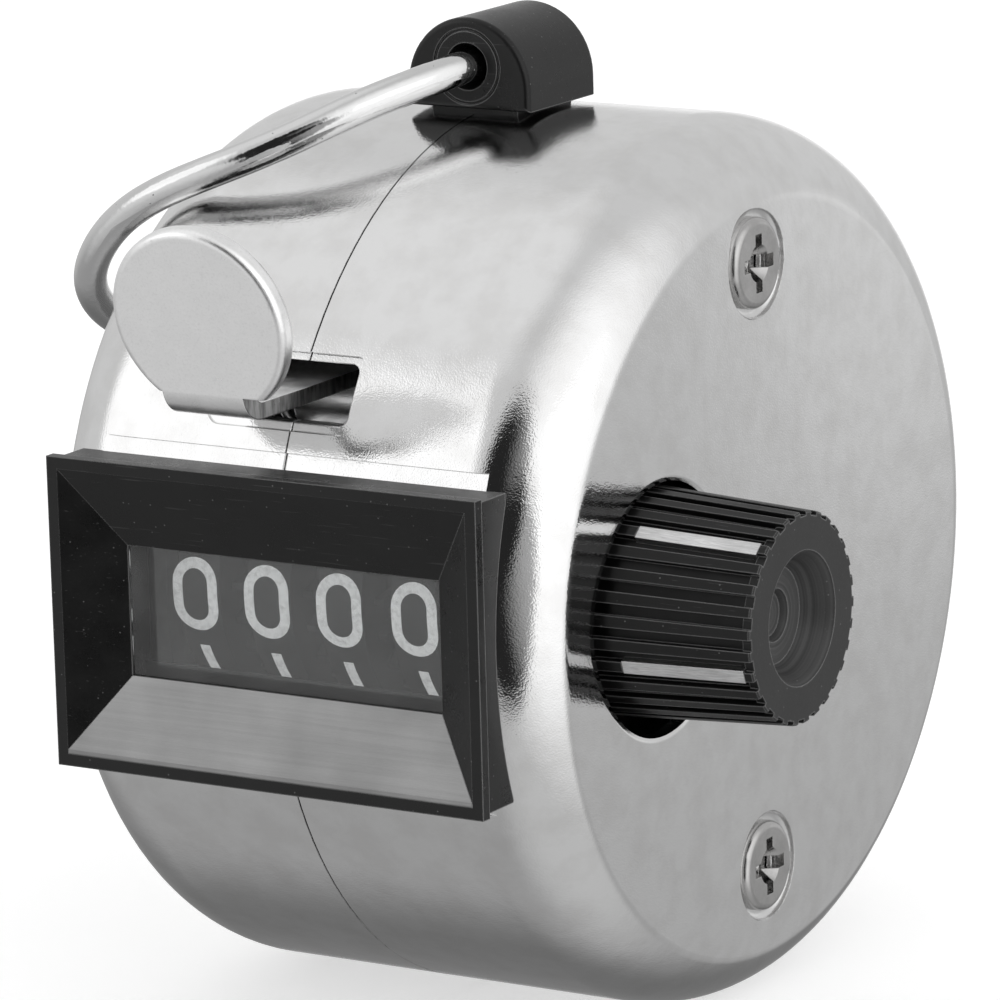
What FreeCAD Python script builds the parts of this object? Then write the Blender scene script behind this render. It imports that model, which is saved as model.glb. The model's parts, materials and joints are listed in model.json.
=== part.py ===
import FreeCAD, Part
import math
import os
import re

import Sketcher
from FreeCAD import Rotation, Vector

# A four-digit hand tally counter with a drum-shaped two-shell case.
# Origin: centre of the drum, on the seam between the shells.
# +X along the drum axis towards the reset knob, -Y to the number window, +Z to the ring.

SIZES = {
    # case
    "case_radius": 22.5,
    "sheet_wall": 0.8,
    "right_depth": 15.9,
    "left_depth": 14.9,
    "shoulder_radius": 5.5,
    "seam_gap": 0.05,
    "cut_clearance": 0.05,
    "coin_depth": 0.12,
    # number wheels and their shaft
    "wheel_y": -12.2,
    "wheel_z": 0.9,
    "wheel_radius": 7.0,
    "wheel_width": 2.5,
    "wheel_pitch": 4.15,
    "wheel_shift": -0.25,
    "shaft_radius": 1.5,
    "running_gap": 0.05,
    "gear_width": 0.6,
    "gear_root": 4.75,
    "gear_tip": 5.9,
    "carry_radius": 4.4,
    "carry_tip": 4.85,
    # transfer pinions
    "pinion_y": -6.755,
    "pinion_z": -4.545,
    "pinion_root": 1.45,
    "pinion_tip": 2.55,
    "pinion_width": 1.3,
    "pinion_shaft_radius": 0.6,
    # window
    "bezel_middle": 0.3,
    "bezel_lift": 0.18,
    "bezel_half_width": 12.3,
    "bezel_half_height": 7.8,
    "bezel_front": -23.9,
    "bezel_end_back": -20.9,
    "bezel_end_width": 1.9,
    "rim_width": 0.6,
    "rim_depth": 0.6,
    "window_middle": 0.7,
    "window_half_width": 8.95,
    "window_low": -3.2,
    "window_high": 3.58,
    "window_plane": -22.6,
    "spigot_half_width": 11.7,
    "spigot_half_height": 7.2,
    "spigot_back": -19.9,
    "lens_thickness": 1.0,
    "lens_margin": 0.65,
    "strip_thickness": 0.25,
    # knob
    "knob_start": 12.5,
    "knob_end": 23.6,
    "knob_base_radius": 5.8,
    "knob_end_radius": 5.2,
    "knob_hole_radius": 6.3,
    "knob_hole_drop": 0.35,
    "flute_width": 0.58,
    "flute_depth": 0.38,
    "spine_start": 16.6,
    "spine_width": 0.7,
    # screws and posts
    "screw_y": -2.4,
    "screw_rise": 0.55,
    "screw_z": 15.35,
    "screw_head_radius": 2.3,
    "screw_head_top": 16.05,
    "dimple_floor": 15.5,
    "dimple_radius": 2.45,
    "dimple_blend": 0.35,
    "post_radius": 1.8,
    "tenon_radius": 1.0,
    # frame
    "plate_radius": 18.0,
    "plate_thickness": 1.0,
    "left_plate": -10.2,
    "right_plate": 10.6,
    "bush_radius": 2.4,
    "rod_radius": 1.5,
    "pin_radius": 0.8,
    # thumb lever
    "lever_pivot_y": -13.0,
    "lever_pivot_z": 9.6,
    "lever_left": -3.6,
    "lever_width": 4.6,
    "lever_sheet": 1.1,
    "pad_radius": 4.85,
    "pad_middle": -0.9,
    "pad_front": -26.75,
    "pad_height": 15.85,
    "pad_lean": 14,        # degrees
    "arm_low": 11.0,
    "arm_sheet": 0.8,
    "arm_bend": 0.6,
    "slot_left": -4.5,
    "slot_right": 3.0,
    "slot_low": 9.95,
    "slot_high": 12.7,
    "hub_radius": 1.55,
    "verge_start": 7.6,
    "verge_width": 0.8,
    # carrier of the pinions
    "carrier_y": -1.8,
    "carrier_z": 0.4,
    "carrier_left": -8.9,
    "carrier_right": 9.2,
    "carrier_sheet": 0.8,
    # ring holder and finger ring
    "holder_half_width": 3.55,
    "holder_half_length": 3.3,
    "holder_base": 22.7,
    "holder_shoulder": 23.75,
    "hinge_height": 24.85,
    "wire_radius": 0.85,
    "neck_half_width": 2.5,
    "neck_half_length": 2.6,
    "foot_low": 19.4,
    "foot_high": 21.2,
}

WHEELS = ("units", "tens", "hundreds", "thousands")
RIDGES = 30
SPINES = 5
SPINE_ANGLE = 51.0      # first spine, degrees above the front of the knob
TIE_RODS = ((10.0, 10.5), (10.0, -10.5), (-9.5, -13.0))
ALONG_X = Rotation(Vector(0, 1, 0), 90)
ALONG_Y = Rotation(Vector(1, 0, 0), -90)
REACH = 30.0            # longer than any wall a cutting tool has to pass

doc = FreeCAD.newDocument("tally_counter")
sheet = doc.addObject("Spreadsheet::Sheet", "sizes")
nodes = {}


def fill_sheet():
    for row, (alias, size) in enumerate(SIZES.items(), start=1):
        sheet.set(f"A{row}", alias)
        sheet.set(f"B{row}", str(size))
        sheet.setAlias(f"B{row}", alias)
    doc.recompute()


def linked(formula):
    """Point every size name in a formula at the sheet."""
    def named(word):
        return "sizes." + word.group() if word.group() in SIZES else word.group()
    return re.sub(r"[a-z]\w*", named, str(formula))


def value(formula):
    result = sheet.evalExpression(linked(formula))
    return float(getattr(result, "Value", result))


def bind(item, prop, formula):
    item.setExpression(prop, linked(formula))


def place(item, x=0, y=0, z=0, turn=None):
    if turn is not None:
        item.Placement = FreeCAD.Placement(Vector(0, 0, 0), turn)
    bind(item, "Placement.Base.x", x)
    bind(item, "Placement.Base.y", y)
    bind(item, "Placement.Base.z", z)
    return item


def keep(item, label):
    """Mark an object as a finished sub-part."""
    item.Label = label
    nodes[label] = item
    return item


# Part primitives and booleans

def rod(name, radius, start, end, y, z, along=ALONG_X):
    """Cylinder between two stations: along X, or along Y when asked (then y holds the X place)."""
    item = doc.addObject("Part::Cylinder", name)
    bind(item, "Radius", radius)
    bind(item, "Height", f"({end}) - ({start})")
    if along is ALONG_X:
        return place(item, start, y, z, along)
    return place(item, y, start, z, along)


def box(name, low, high):
    item = doc.addObject("Part::Box", name)
    for prop, near, far in zip(("Length", "Width", "Height"), low, high):
        bind(item, prop, f"({far}) - ({near})")
    return place(item, *low)


def fuse(name, *parts):
    item = doc.addObject("Part::MultiFuse", name)
    item.Shapes = list(parts)
    return item


def common(name, *parts):
    item = doc.addObject("Part::MultiCommon", name)
    item.Shapes = list(parts)
    return item


def cut(name, base, *tools):
    item = doc.addObject("Part::Cut", name)
    item.Base = base
    item.Tool = tools[0] if len(tools) == 1 else fuse(name + "_tools", *tools)
    return item


def group(name, *parts):
    item = doc.addObject("Part::Compound", name)
    item.Links = list(parts)
    return item


def tube(name, outer, inner, start, end, y, z, along=ALONG_X):
    wall = rod(name + "_outside", outer, start, end, y, z, along)
    bore = rod(name + "_bore", inner, start, end, y, z, along)
    return cut(name, wall, bore)


def rounded(name, base, radius, pick):
    """Fillet the edges of a finished primitive that pick() chooses."""
    doc.recompute()
    item = doc.addObject("Part::Fillet", name)
    item.Base = base
    chosen = [number for number, edge in enumerate(base.Shape.Edges, start=1) if pick(edge)]
    item.Edges = [(number, radius, radius) for number in chosen]
    return item


def runs_along(axis):
    """Choose straight edges that lie along an axis."""
    def pick(edge):
        if len(edge.Vertexes) != 2:
            return False
        step = edge.Vertexes[1].Point - edge.Vertexes[0].Point
        return edge.Curve.TypeId == "Part::GeomLine" and abs(step.dot(axis)) > 0.999 * step.Length
    return pick


# PartDesign bodies

def new_body(name):
    return doc.addObject("PartDesign::Body", name)


def new_sketch(body, name, role):
    """Empty sketch on one of the body's own origin planes."""
    plane = next(item for item in body.Origin.OriginFeatures if item.Role == role)
    sketch = body.newObject("Sketcher::SketchObject", name)
    sketch.AttachmentSupport = [(plane, "")]
    sketch.MapMode = "FlatFace"
    return sketch


def dimension(sketch, kind, references, formula):
    size = value(formula)
    if kind == "Radius":
        index = sketch.addConstraint(Sketcher.Constraint(kind, *references, size))
    elif abs(size) < 1e-9:
        axis = -2 if kind == "DistanceX" else -1
        sketch.addConstraint(Sketcher.Constraint("PointOnObject", *references, axis))
        return
    else:
        index = sketch.addConstraint(Sketcher.Constraint(kind, -1, 1, *references, size))
    sketch.setExpression(f"Constraints[{index}]", linked(formula))


def outline(sketch, corners):
    """Closed outline through corners (across, up).

    A corner with five entries (across, up, centre across, centre up, turn) is reached by an
    arc round that centre; turn is 1 for counter-clockwise and -1 for clockwise.
    """
    points = [Vector(value(corner[0]), value(corner[1]), 0) for corner in corners]
    first = sketch.GeometryCount
    starts = []
    for index, corner in enumerate(corners):
        begin = points[index - 1]
        end = points[index]
        if len(corner) == 2:
            sketch.addGeometry(Part.LineSegment(begin, end), False)
            starts.append((1, 2))
            continue
        centre = Vector(value(corner[2]), value(corner[3]), 0)
        angles = [math.atan2(p.y - centre.y, p.x - centre.x) for p in (begin, end)]
        circle = Part.Circle(centre, Vector(0, 0, 1), (begin - centre).Length)
        ordered = angles if corner[4] > 0 else angles[::-1]
        sketch.addGeometry(Part.ArcOfCircle(circle, *ordered), False)
        starts.append((1, 2) if corner[4] > 0 else (2, 1))
    count = len(corners)
    for index, corner in enumerate(corners):
        this = first + index
        following = first + (index + 1) % count
        sketch.addConstraint(Sketcher.Constraint(
            "Coincident", this, starts[index][1], following, starts[(index + 1) % count][0]))
        dimension(sketch, "DistanceX", (this, starts[index][1]), corner[0])
        dimension(sketch, "DistanceY", (this, starts[index][1]), corner[1])
        if len(corner) == 5:
            chord = points[index] - points[index - 1]
            if abs(chord.x) > abs(chord.y):
                dimension(sketch, "DistanceY", (this, 3), corner[3])
            else:
                dimension(sketch, "DistanceX", (this, 3), corner[2])


def circle_in(sketch, radius, across=0, up=0):
    middle = Vector(value(across), value(up), 0)
    index = sketch.addGeometry(Part.Circle(middle, Vector(0, 0, 1), value(radius)), False)
    dimension(sketch, "DistanceX", (index, 3), across)
    dimension(sketch, "DistanceY", (index, 3), up)
    dimension(sketch, "Radius", (index,), radius)


def revolved(body, name, corners):
    """Solid of revolution about X from an outline of (station, radius) corners."""
    sketch = new_sketch(body, name + "_sketch", "XY_Plane")
    outline(sketch, corners)
    doc.recompute()
    turned = body.newObject("PartDesign::Revolution", name)
    turned.Profile = sketch
    turned.ReferenceAxis = (sketch, ["H_Axis"])
    turned.Angle = 360
    doc.recompute()
    return turned


def padded(body, name, sketch, length):
    doc.recompute()
    pad = body.newObject("PartDesign::Pad", name)
    pad.Profile = sketch
    bind(pad, "Length", length)
    doc.recompute()
    return pad


def repeated(body, name, feature, axis, count):
    pattern = body.newObject("PartDesign::PolarPattern", name)
    pattern.Originals = [feature]
    pattern.Axis = axis
    pattern.Angle = 360
    pattern.Occurrences = count
    body.Tip = pattern
    doc.recompute()
    return pattern


def toothed(name, root, tip, foot_width, top_width, width, count):
    """Spur gear about X with straight-sided teeth, one of them pointing along +Y."""
    body = new_body(name)
    disc = new_sketch(body, name + "_disc", "YZ_Plane")
    circle_in(disc, root)
    padded(body, name + "_blank", disc, width)
    tooth = new_sketch(body, name + "_tooth", "YZ_Plane")
    outline(tooth, [(f"{root} - 0.3", -foot_width / 2), (tip, -top_width / 2),
                    (tip, top_width / 2), (f"{root} - 0.3", foot_width / 2)])
    pad = padded(body, name + "_tooth_pad", tooth, width)
    repeated(body, name + "_teeth", pad, (tooth, ["N_Axis"]), count)
    return body


# Case

def drawn_cup(name, depth, side):
    """One case half: a cup with a rounded shoulder, open at the seam."""
    flat = "case_radius - shoulder_radius"
    cap = f"{side} * {depth}"
    shoulder = f"{side} * ({depth} - shoulder_radius)"
    inner_cap = f"{side} * ({depth} - sheet_wall)"
    seam = f"{side} * seam_gap"
    inside = "case_radius - sheet_wall"
    cup = new_body(name)
    revolved(cup, name + "_wall", [
        (cap, 0),
        (cap, flat),
        (shoulder, "case_radius", shoulder, flat, side),
        (seam, "case_radius"),
        (seam, inside),
        (shoulder, inside),
        (inner_cap, flat, shoulder, flat, -side),
        (inner_cap, 0)])
    return cup


def case_openings(side):
    """Tools that cut the window, the lever slot and the holder slot out of one shell."""
    width = "spigot_half_width + cut_clearance"
    height = "spigot_half_height + cut_clearance"
    window = box(f"window_opening_{side}",
                 (f"bezel_middle - ({width})", -REACH, f"bezel_lift - ({height})"),
                 (f"bezel_middle + {width}", "wheel_y", f"bezel_lift + {height}"))
    slot = box(f"lever_slot_{side}", ("slot_left", -REACH, "slot_low"),
               ("slot_right", "lever_pivot_y", "slot_high"))
    slot = rounded(f"lever_slot_rounded_{side}", slot, 0.45, runs_along(Vector(0, 1, 0)))
    across = "neck_half_width + cut_clearance"
    along = "neck_half_length + cut_clearance"
    holder = box(f"holder_slot_{side}", (f"-({across})", f"-({along})", "foot_low"),
                 (across, along, REACH))
    return [window, slot, holder]


def coined_borders(side):
    """Shallow stepped borders round the window and round the lever slot."""
    skin = tube(f"coined_skin_{side}", "case_radius + 1", "case_radius - coin_depth",
                -REACH, REACH, 0, 0)
    window = box(f"window_border_{side}",
                 ("bezel_middle - bezel_half_width - 0.6", -REACH,
                  "bezel_lift - bezel_half_height - 0.6"),
                 ("bezel_middle + bezel_half_width + 0.6", "wheel_y",
                  "bezel_lift + bezel_half_height + 0.6"))
    slot = box(f"slot_border_{side}", ("slot_left - 0.5", -REACH, "slot_low - 0.4"),
               ("slot_right + 0.5", "lever_pivot_y", "slot_high + 0.4"))
    slot = rounded(f"slot_border_rounded_{side}", slot, 0.8, runs_along(Vector(0, 1, 0)))
    both = fuse(f"borders_{side}", window, slot)
    return common(f"coined_borders_{side}", skin, both)


def dimple_tool(name, height):
    """Cutter for one screw dimple, with a wall that blends out of the cap."""
    foot = "dimple_radius"
    waist = "dimple_radius + dimple_blend"
    lip = "dimple_radius + 2 * dimple_blend"
    rise = "dimple_floor + dimple_blend"
    top = "dimple_floor + 2 * dimple_blend"
    tool = new_body(name)
    revolved(tool, name + "_shape", [
        ("dimple_floor", 0),
        ("dimple_floor", foot),
        (rise, waist, rise, foot, -1),
        (top, lip, rise, lip, 1),
        (REACH, lip),
        (REACH, 0)])
    return place(tool, 0, "screw_y", height)


def left_case_shell():
    cup = drawn_cup("left_cup", "left_depth", -1)
    tenons = [rod(f"tenon_hole_{number}", "tenon_radius + 0.02", "-left_depth - 1",
                  "-left_depth + 2", "screw_y", f"screw_rise + {sign} * screw_z")
              for number, sign in enumerate((1, -1))]
    tools = case_openings("left") + [coined_borders("left")] + tenons
    keep(cut("left_shell", cup, *tools), "left_case_shell")


def right_case_shell():
    cup = drawn_cup("right_cup", "right_depth", 1)
    tools = case_openings("right") + [coined_borders("right")]
    seats = []
    for number, sign in enumerate((1, -1)):
        height = f"screw_rise + {sign} * screw_z"
        seats.append(rod(f"screw_seat_{number}", "dimple_radius + dimple_blend + 0.2",
                         "dimple_floor - sheet_wall", "right_depth - sheet_wall / 2",
                         "screw_y", height))
        tools.append(dimple_tool(f"dimple_{number}", height))
        tools.append(rod(f"screw_hole_{number}", "tenon_radius + 0.1", "wheel_radius", REACH,
                         "screw_y", height))
    tools.append(rod("knob_hole", "knob_hole_radius", "knob_start - 2", REACH,
                     "wheel_y", "wheel_z - knob_hole_drop"))
    keep(cut("right_shell", fuse("right_cup_with_seats", cup, *seats), *tools),
         "right_case_shell")


def case_screws():
    """Two pan-head screws with a tapered cross recess."""
    screws = []
    for number, sign in enumerate((1, -1)):
        height = f"screw_rise + {sign} * screw_z"
        head = new_body(f"screw_head_{number}")
        revolved(head, f"screw_head_shape_{number}", [
            ("dimple_floor", 0),
            ("dimple_floor", "screw_head_radius"),
            ("screw_head_top - 0.35", "screw_head_radius"),
            ("screw_head_top", "screw_head_radius - 0.35",
             "screw_head_top - 0.35", "screw_head_radius - 0.35", -1),
            ("screw_head_top", 0)])
        place(head, 0, "screw_y", height)
        shank = rod(f"screw_shank_{number}", "tenon_radius - 0.02", 8.5, "dimple_floor + 0.1",
                    "screw_y", height)
        slots = [
            box(f"recess_up_{number}",
                ("dimple_floor - 0.3", "screw_y - 0.32", f"{height} - 1.45"),
                ("screw_head_top + 1", "screw_y + 0.32", f"{height} + 1.45")),
            box(f"recess_across_{number}",
                ("dimple_floor - 0.3", "screw_y - 1.45", f"{height} - 0.32"),
                ("screw_head_top + 1", "screw_y + 1.45", f"{height} + 0.32"))]
        centre = doc.addObject("Part::Cone", f"recess_centre_{number}")
        centre.Radius1 = 0.2
        centre.Radius2 = 0.95
        bind(centre, "Height", "screw_head_top + 0.01 - (dimple_floor - 0.6)")
        place(centre, "dimple_floor - 0.6", "screw_y", height, ALONG_X)
        screws.append(cut(f"case_screw_{number}",
                          fuse(f"screw_blank_{number}", head, shank), *slots, centre))
    keep(group("screws", *screws), "case_screws")


def screw_posts():
    """Posts riveted through the left cap; each takes one case screw in its right end."""
    posts = []
    for number, sign in enumerate((1, -1)):
        height = f"screw_rise + {sign} * screw_z"
        post = rod(f"post_{number}", "post_radius", "-left_depth + sheet_wall + 0.12",
                   "dimple_floor - sheet_wall", "screw_y", height)
        tenon = rod(f"post_tenon_{number}", "tenon_radius", "-left_depth",
                    "-left_depth + sheet_wall + 0.2", "screw_y", height)
        thread = rod(f"post_thread_{number}", "tenon_radius", 8, "right_depth",
                     "screw_y", height)
        posts.append(cut(f"screw_post_{number}", fuse(f"post_blank_{number}", post, tenon),
                         thread))
    keep(group("posts", *posts), "screw_posts")


# Window

def tapered_opening(name, lift=0):
    """Window funnel: wide at the bezel's front plane, narrow at the window plane."""
    funnel = doc.addObject("Part::Wedge", name)
    for prop, formula in (
            ("Xmin", "bezel_middle - (bezel_half_width - rim_width)"),
            ("Xmax", "bezel_middle + bezel_half_width - rim_width"),
            ("Ymin", "bezel_front"),
            ("Ymax", "window_plane"),
            ("Zmin", f"bezel_lift - (bezel_half_height - rim_width) + {lift}"),
            ("Zmax", "bezel_lift + bezel_half_height - rim_width"),
            ("X2min", "window_middle - window_half_width"),
            ("X2max", "window_middle + window_half_width"),
            ("Z2min", f"window_low + {lift}"),
            ("Z2max", "window_high")):
        bind(funnel, prop, formula)
    return funnel


def bezel_block(name, front, back, half_width, half_height):
    """Block centred on the bezel."""
    return box(name,
               (f"bezel_middle - ({half_width})", front, f"bezel_lift - ({half_height})"),
               (f"bezel_middle + {half_width}", back, f"bezel_lift + {half_height}"))


def drum_saddle():
    """The drum's outside under the bezel, as a cutter: its coined band and both shoulders."""
    drum = new_body("saddle_drum")
    corner = "case_radius - shoulder_radius"
    left = "-left_depth + shoulder_radius"
    right = "right_depth - shoulder_radius"
    revolved(drum, "saddle_drum_shape", [
        ("-left_depth", 0),
        ("-left_depth", corner),
        (left, "case_radius", left, corner, -1),
        (right, "case_radius"),
        ("right_depth", corner, right, corner, -1),
        ("right_depth", 0)])
    band = rod("saddle_band", "case_radius - coin_depth + 0.01", -REACH, REACH, 0, 0)
    return common("saddle", drum, band)


def window_bezel():
    """Frame with a proud rim; its middle beds on the drum, its two ends stop short of it."""
    rim = bezel_block("bezel_rim", "bezel_front", "bezel_front + rim_depth",
                      "bezel_half_width", "bezel_half_height")
    ends = bezel_block("bezel_ends", "bezel_front + rim_depth / 2", "bezel_end_back",
                       "bezel_half_width - 0.15", "bezel_half_height - 0.2")
    middle = bezel_block("bezel_middle_block", "bezel_front + rim_depth / 2", "window_plane + 2",
                         "bezel_half_width - bezel_end_width", "bezel_half_height - 0.2")
    outside = cut("bezel_outside", fuse("bezel_outer_block", rim, ends, middle), drum_saddle())
    spigot = bezel_block("bezel_spigot", "bezel_front + rim_depth", "spigot_back",
                         "spigot_half_width", "spigot_half_height")
    blank = fuse("bezel_blank", outside, spigot)
    opening = box("bezel_window", ("window_middle - window_half_width", -REACH, "window_low"),
                  ("window_middle + window_half_width", "wheel_y", "window_high"))
    seat = box("lens_seat",
               ("window_middle - (window_half_width + lens_margin + 0.05)",
                "window_plane + 0.1", "window_low - lens_margin - 0.05"),
               ("window_middle + window_half_width + lens_margin + 0.05",
                "wheel_y", "window_high + lens_margin + 0.05"))
    keep(cut("bezel", blank, tapered_opening("bezel_funnel"), opening, seat), "window_bezel")


def bezel_trim_strip():
    """Bright strip that lies on the lower slope of the bezel."""
    strip = cut("strip", tapered_opening("strip_outside"),
                tapered_opening("strip_inside", "strip_thickness"))
    keep(strip, "bezel_trim_strip")


def window_lens():
    lens = box("lens", ("window_middle - (window_half_width + lens_margin)",
                        "window_plane + 0.1", "window_low - lens_margin"),
               ("window_middle + window_half_width + lens_margin",
                "window_plane + 0.1 + lens_thickness", "window_high + lens_margin"))
    keep(lens, "window_lens")


# Number wheels

def wheel_start(index):
    """Left face of a wheel's printed rim; index 0 is the units wheel, on the right."""
    return f"(1.5 - {index}) * wheel_pitch - wheel_width / 2 + wheel_shift"


def number_wheel(index, name):
    start = wheel_start(index)
    axis = ("wheel_y", "wheel_z")
    rim = rod(name + "_rim", "wheel_radius", start, f"{start} + wheel_width", *axis)
    solids = [rim]
    if index > 0:
        gear = toothed(name + "_gear", "gear_root", "gear_tip", 0.95, 0.36, "gear_width", 20)
        solids.append(place(gear, f"{start} + wheel_width", *axis))
    if index < 3:
        carry_start = f"{start} - gear_width"
        solids.append(rod(name + "_carry_disc", "carry_radius", carry_start, start, *axis))
        tooth = box(name + "_carry_tooth",
                    (carry_start, "wheel_y + carry_radius - 0.4", "wheel_z - 0.5"),
                    (start, "wheel_y + carry_tip", "wheel_z + 0.5"))
        solids.append(tooth)
    pocket = box(name + "_pawl_pocket",
                 (f"{start} - gear_width - 1", "wheel_y - 0.55", "wheel_z"),
                 (f"{start} + 1", "wheel_y + 0.55", "wheel_z + 3.9"))
    bore = rod(name + "_bore", "shaft_radius + running_gap", -REACH, REACH, *axis)
    keep(cut(name, fuse(name + "_blank", *solids), pocket, bore), name + "_wheel")


def reset_pawl(index, name):
    """Leaf in a wheel's pocket that drops into the shaft groove when the knob is turned."""
    start = wheel_start(index)
    leaf = box(name + "_leaf", (f"{start} + 0.1", "wheel_y - 0.5", "wheel_z"),
               (f"{start} + 0.95", "wheel_y + 0.5", "wheel_z + 3.8"))
    clear = rod(name + "_leaf_clear", "shaft_radius + 0.1", -REACH, REACH,
                "wheel_y", "wheel_z")
    keep(cut(name + "_pawl_cut", leaf, clear), name + "_reset_pawl")


def star_wheel():
    star = toothed("star", 3.9, 5.0, 1.9, 0.5, "verge_width", 10)
    place(star, "verge_start", "wheel_y", "wheel_z")
    collar = rod("star_collar", 2.6, "1.5 * wheel_pitch + wheel_width / 2 + wheel_shift",
               "verge_start + 0.1",
                 "wheel_y", "wheel_z")
    bore = rod("star_bore", "shaft_radius + running_gap", -REACH, REACH, "wheel_y", "wheel_z")
    keep(cut("star_cut", fuse("star_blank", star, collar), bore), "star_wheel")


def transfer_pinion(index, name):
    """Pinion in the gap on the right of a wheel; it takes the carry from the lower wheel."""
    middle = f"((2 - {index}) * wheel_pitch + wheel_shift)"
    gear = toothed(name + "_pinion_gear", "pinion_root", "pinion_tip", 0.9, 0.34,
                   "pinion_width", 8)
    place(gear, f"{middle} - pinion_width / 2", "pinion_y", "pinion_z")
    bore = rod(name + "_pinion_bore", "pinion_shaft_radius + running_gap", -REACH, REACH,
               "pinion_y", "pinion_z")
    keep(cut(name + "_pinion_cut", gear, bore), name + "_pinion")


# Shaft and knob

def reset_shaft():
    blank = rod("shaft_blank", "shaft_radius", -11.9, "knob_end - 3.2", "wheel_y", "wheel_z")
    groove = box("shaft_groove", (-9, "wheel_y - 0.3", "wheel_z + shaft_radius - 0.45"),
                 (9, "wheel_y + 0.3", "wheel_z + 3"))
    keep(cut("shaft", blank, groove), "reset_shaft")


def reset_knob():
    knob = new_body("knob")
    revolved(knob, "knob_turned", [
        ("knob_start", "shaft_radius + 0.02"),
        ("knob_start", "knob_base_radius"),
        ("knob_end - 0.08", "knob_end_radius"),
        ("knob_end", "knob_end_radius - 0.08"),
        ("knob_end", 3.3),
        ("knob_end - 1.5", 2.4),
        ("knob_end - 1.5", 1.3),
        ("knob_end - 1.9", 1.1),
        ("knob_end - 1.9", 0),
        ("knob_end - 3.1", 0),
        ("knob_end - 3.1", "shaft_radius + 0.02")])
    flute = new_sketch(knob, "flute_sketch", "XY_Plane")
    outline(flute, [
        ("knob_start + 0.7", "knob_base_radius - flute_depth"),
        ("knob_end - 0.5", "knob_end_radius - flute_depth"),
        ("knob_end - 0.5", "knob_end_radius - 0.24"),
        ("knob_end + 0.2", "knob_end_radius - 0.24"),
        ("knob_end + 0.2", "knob_base_radius + 1"),
        ("knob_start + 0.7", "knob_base_radius + 1")])
    doc.recompute()
    plain = knob.Shape.Volume
    pocket = knob.newObject("PartDesign::Pocket", "flute")
    pocket.Profile = flute
    pocket.Midplane = True
    bind(pocket, "Length", "flute_width")
    doc.recompute()
    if knob.Shape.Volume > plain - 1:
        raise RuntimeError("the first flute cuts nothing")
    repeated(knob, "flutes", pocket, (flute, ["H_Axis"]), RIDGES)
    place(knob, 0, "wheel_y", "wheel_z")
    # The first flute points to +Y; half a step on stands a ridge, and spines sit on ridges.
    turn_to_ridge = 360 / RIDGES / 2
    spine_turn = 180 - SPINE_ANGLE
    knob.Placement.Rotation = Rotation(Vector(1, 0, 0), spine_turn + turn_to_ridge)
    bars = []
    beds = []
    for number in range(SPINES):
        turn = Rotation(Vector(1, 0, 0), spine_turn + number * 360 / SPINES)
        bars.append(spine_bar(f"spine_{number}", turn, 0))
        beds.append(spine_bar(f"spine_bed_{number}", turn, 0.01))
    keep(cut("knob_cut", knob, *beds), "reset_knob")
    keep(group("spines", *bars), "knob_spines")


def spine_bar(name, turn, grow):
    """Flat bar along the knob at one angle, with its top level with the ridges."""
    bar = new_body(name)
    sketch = new_sketch(bar, name + "_sketch", "XY_Plane")
    slope = "(knob_base_radius - knob_end_radius) / (knob_end - 0.08 - knob_start)"
    top_start = f"knob_base_radius - (spine_start - knob_start) * {slope} - 0.02"
    top_end = f"knob_base_radius - (knob_end - 0.5 - knob_start) * {slope} - 0.02"
    low = "knob_end_radius - flute_depth"
    outline(sketch, [
        (f"spine_start - {grow}", f"{low} - {grow}"),
        (f"knob_end - 0.5 + {grow}", f"{low} - {grow}"),
        (f"knob_end - 0.5 + {grow}", f"{top_end} + 30 * {grow}"),
        (f"spine_start - {grow}", f"{top_start} + 30 * {grow}")])
    doc.recompute()
    pad = bar.newObject("PartDesign::Pad", name + "_pad")
    pad.Profile = sketch
    pad.Midplane = True
    bind(pad, "Length", f"spine_width + 2 * {grow}")
    doc.recompute()
    place(bar, 0, "wheel_y", "wheel_z")
    bar.Placement.Rotation = turn
    return bar


def reset_cam():
    disc = rod("cam_disc", 2.6, "carrier_left + 0.1", "carrier_left + 0.7",
               "wheel_y", "wheel_z")
    bore = rod("cam_bore", "shaft_radius + 0.02", -REACH, REACH, "wheel_y", "wheel_z")
    notch = box("cam_notch", ("carrier_left", "wheel_y + 1.9", "wheel_z - 1.6"),
                ("carrier_left + 1", "wheel_y + 4", "wheel_z + 0.4"))
    keep(cut("cam", disc, bore, notch), "reset_cam")


def shaft_clips():
    clips = []
    for number, start in enumerate((-11.4, 9.75)):
        ring = tube(f"clip_ring_{number}", 2.5, "shaft_radius + 0.02", start, start + 0.5,
                    "wheel_y", "wheel_z")
        mouth = box(f"clip_mouth_{number}", (start, "wheel_y - 0.6", "wheel_z - 4"),
                    (start + 0.5, "wheel_y + 0.6", "wheel_z"))
        clips.append(cut(f"clip_{number}", ring, mouth))
    keep(group("clips", *clips), "shaft_clips")


# Frame

def frame_plate(label, start):
    end = f"{start} + plate_thickness"
    disc = rod(label + "_disc", "plate_radius", start, end, 0, 0)
    holes = [
        rod(label + "_bush_hole", "bush_radius + 0.02", start, end, "wheel_y", "wheel_z"),
        rod(label + "_lever_hole", "pin_radius + 0.02", start, end,
            "lever_pivot_y", "lever_pivot_z"),
        rod(label + "_carrier_hole", "pin_radius + 0.02", start, end,
            "carrier_y", "carrier_z")]
    for number, (y, z) in enumerate(TIE_RODS):
        holes.append(rod(f"{label}_rod_hole_{number}", "tenon_radius + 0.02", start, end, y, z))
    for number, sign in enumerate((1, -1)):
        holes.append(rod(f"{label}_post_hole_{number}", "post_radius + 0.05", start, end,
                         "screw_y", f"screw_rise + {sign} * screw_z"))
    keep(cut(label + "_cut", disc, *holes), label)


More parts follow.
